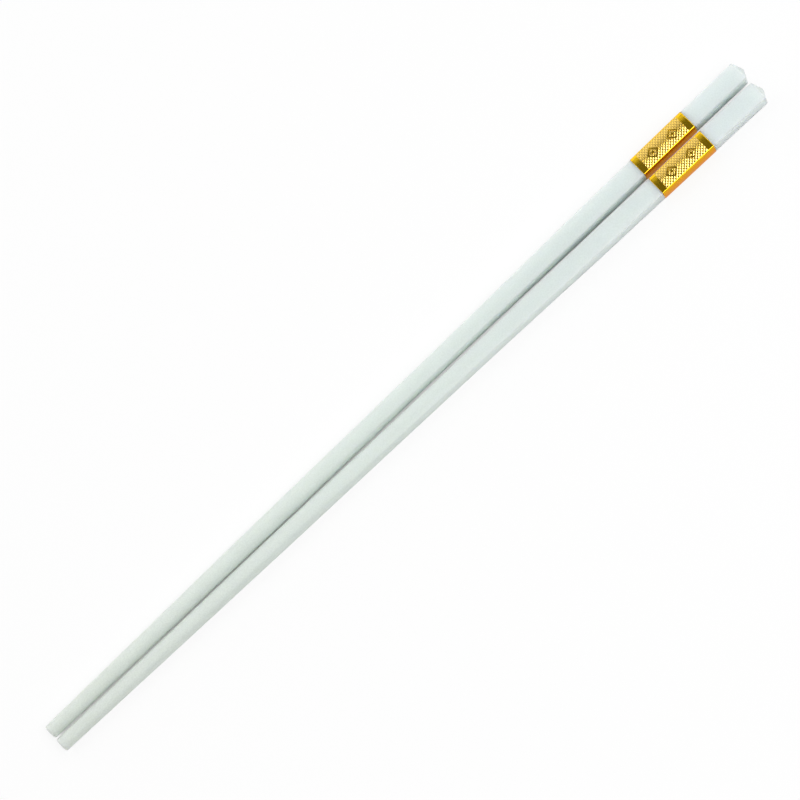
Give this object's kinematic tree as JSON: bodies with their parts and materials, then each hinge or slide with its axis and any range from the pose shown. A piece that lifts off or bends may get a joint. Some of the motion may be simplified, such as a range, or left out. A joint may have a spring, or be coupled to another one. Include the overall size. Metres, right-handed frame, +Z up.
{
  "type": "chopsticks",
  "caption": "Pair of slim tapered serving chopsticks: round tips, square handles with low peaked heads, and a gold-coloured stamped metal sleeve near each head.",
  "frame": {"origin": "on the surface that the pair lies on, under the middle of the pair", "axes": "+X along the pair, from the tips to the heads; +Y across the pair, towards the left stick; +Z up"},
  "size_m": [0.27, 0.0146, 0.0065],
  "materials": {
    "stick_body": "satin",
    "gold_sleeve": "polished"
  },
  "bodies": {
    "root": {"left_stick": "stick_body", "right_stick": "stick_body", "left_sleeve": "gold_sleeve", "right_sleeve": "gold_sleeve"}
  },
  "joints": []
}
